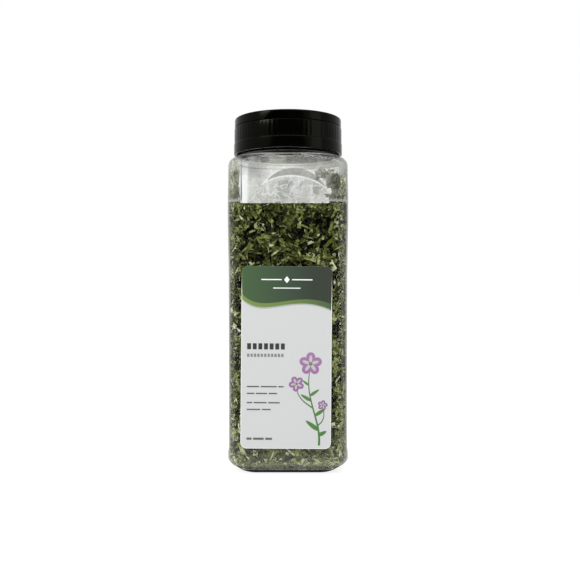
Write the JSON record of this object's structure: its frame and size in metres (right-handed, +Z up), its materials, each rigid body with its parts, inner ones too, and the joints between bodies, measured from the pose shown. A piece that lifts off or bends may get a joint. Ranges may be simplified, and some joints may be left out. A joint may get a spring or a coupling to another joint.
{
  "type": "spice jar of dried chives",
  "caption": "Tall square clear plastic jar of dried chive flakes, with a paper front label and a round black screw cap that has a spoon flap and a sifter flap.",
  "frame": {"origin": "centre of the jar's footprint, on the surface that it stands on", "axes": "+Z up the jar's axis towards the cap; the labelled face is towards -Y"},
  "size_m": [0.072, 0.072, 0.2159],
  "materials": {
    "clear_plastic": "gloss",
    "dried_chive": "matte",
    "label_paper": "satin",
    "black_plastic": "gloss"
  },
  "bodies": {
    "jar": {"jar": "clear_plastic", "chive_flakes": "dried_chive", "front_label": "label_paper"},
    "cap": {"cap": "black_plastic"},
    "spoon_flap": {"spoon_flap": "black_plastic"},
    "sifter_flap": {"sifter_flap": "black_plastic"}
  },
  "joints": [
    {"name": "cap_turn", "type": "hinge", "parent": "jar", "child": "cap", "pos_m": [0, 0, 0.2], "axis": [0, 0, 1], "range_deg": [0, 414]},
    {"name": "spoon_flap_hinge", "type": "hinge", "parent": "cap", "child": "spoon_flap", "pos_m": [-0.00081, -0.00458, 0.2159], "axis": [-0.9848, 0.1736, 0], "range_deg": [0, 95]},
    {"name": "sifter_flap_hinge", "type": "hinge", "parent": "cap", "child": "sifter_flap", "pos_m": [0.00081, 0.00458, 0.2159], "axis": [0.9848, -0.1736, 0], "range_deg": [0, 95]}
  ]
}
